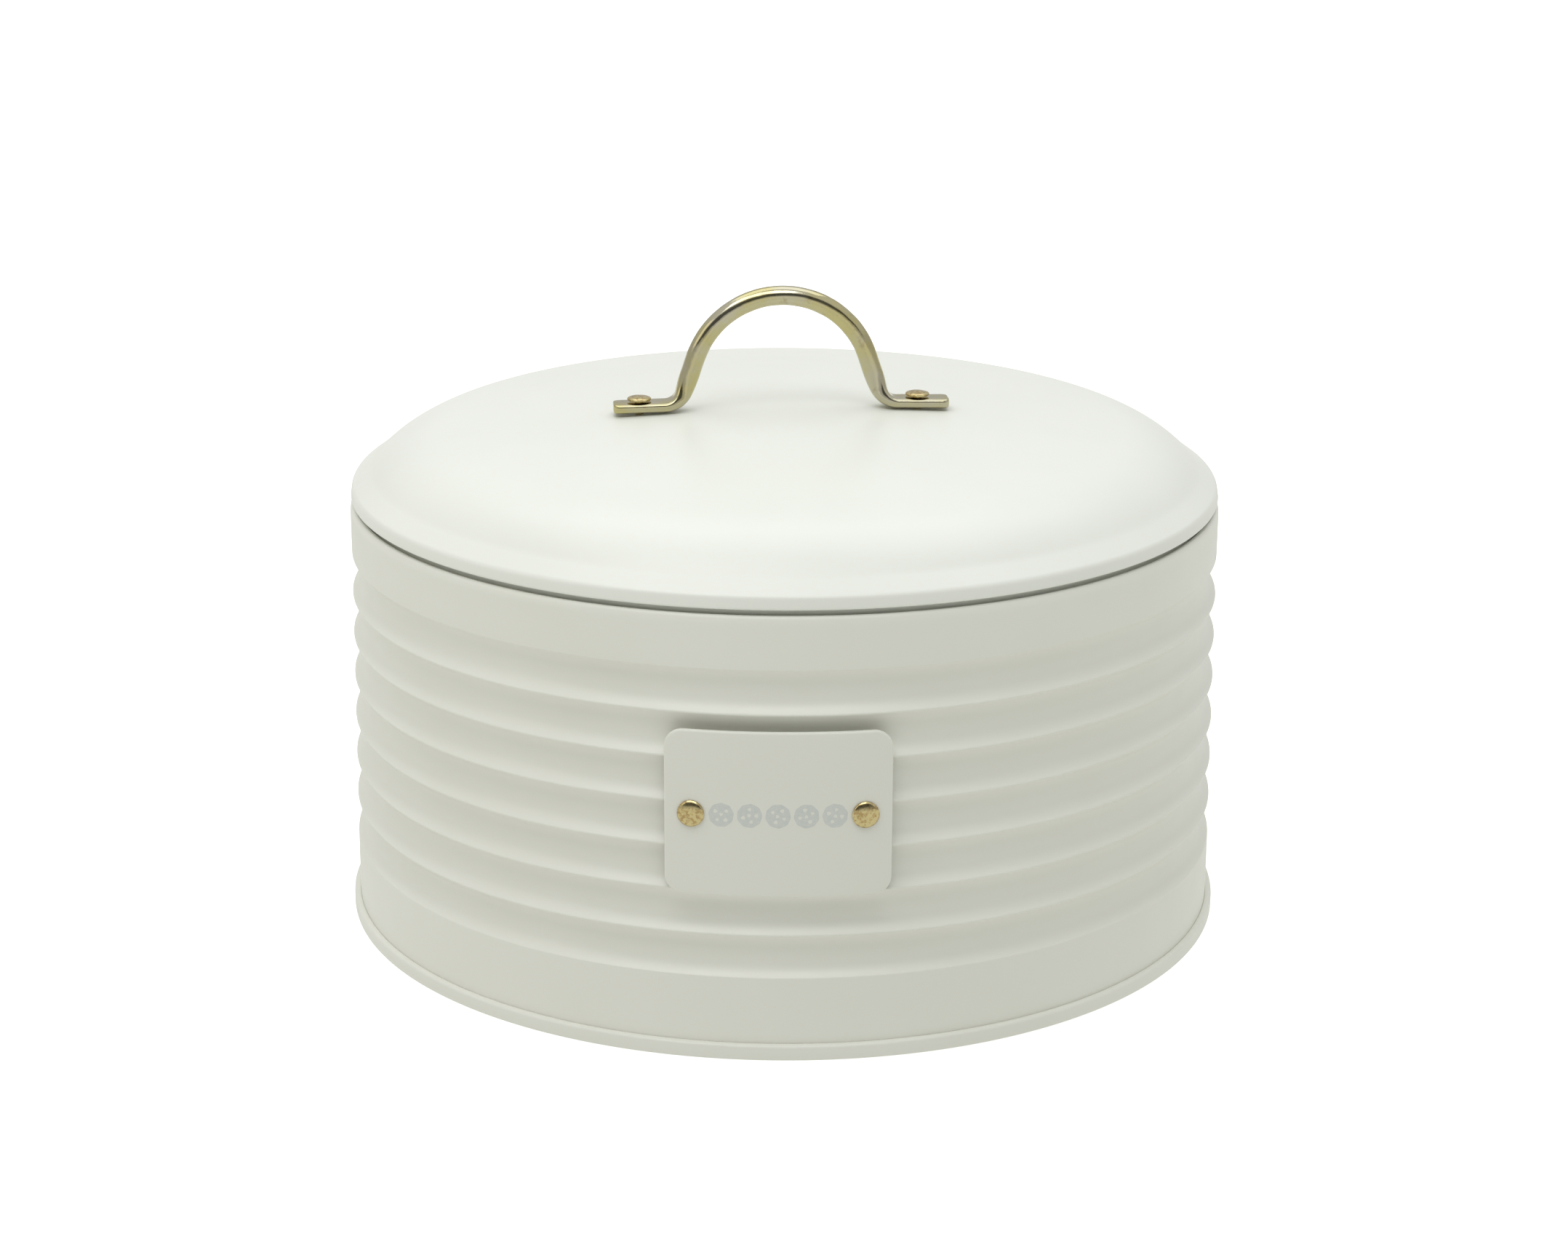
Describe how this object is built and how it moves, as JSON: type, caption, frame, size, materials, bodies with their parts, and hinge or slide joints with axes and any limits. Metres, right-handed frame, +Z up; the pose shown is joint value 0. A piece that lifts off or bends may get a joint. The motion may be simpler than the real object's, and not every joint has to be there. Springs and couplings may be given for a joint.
{
  "type": "cookie tin",
  "caption": "Round painted sheet-metal cookie tin with a fluted wall, a riveted label plate and a domed lift-off lid with an arched wire handle.",
  "frame": {"origin": "on the surface the tin stands on, at the middle of its round foot seam", "axes": "+Z up along the tin's axis and the way the lid lifts off; -Y out of the label plate; +X to the right when facing the plate"},
  "size_m": [0.2242, 0.2242, 0.1606],
  "materials": {
    "painted_body": "satin stone-grey powder coat",
    "painted_lid": "satin stone-grey powder coat",
    "label_paint": "satin stone-grey paint with a printed row of small cookie shapes",
    "handle_metal": "worn yellow zinc or brass plating on wire, streaked",
    "rivet_brass": "mottled aged brass",
    "washer_steel": "bright zinc"
  },
  "bodies": {
    "body": {"body_wall": "painted_body", "base_panel": "painted_body", "label_plate": "label_paint", "label_rivet_left": "rivet_brass", "label_rivet_right": "rivet_brass"},
    "lid": {"lid_dome": "painted_lid", "lid_plug_ring": "painted_lid", "handle": "handle_metal", "handle_rivet_left": "rivet_brass", "handle_rivet_right": "rivet_brass", "handle_washer_left": "washer_steel", "handle_washer_right": "washer_steel"}
  },
  "joints": [
    {"name": "lid_lift", "type": "slide", "parent": "body", "child": "lid", "axis": [0, 0, 1], "range_m": [0, 0.12]}
  ]
}
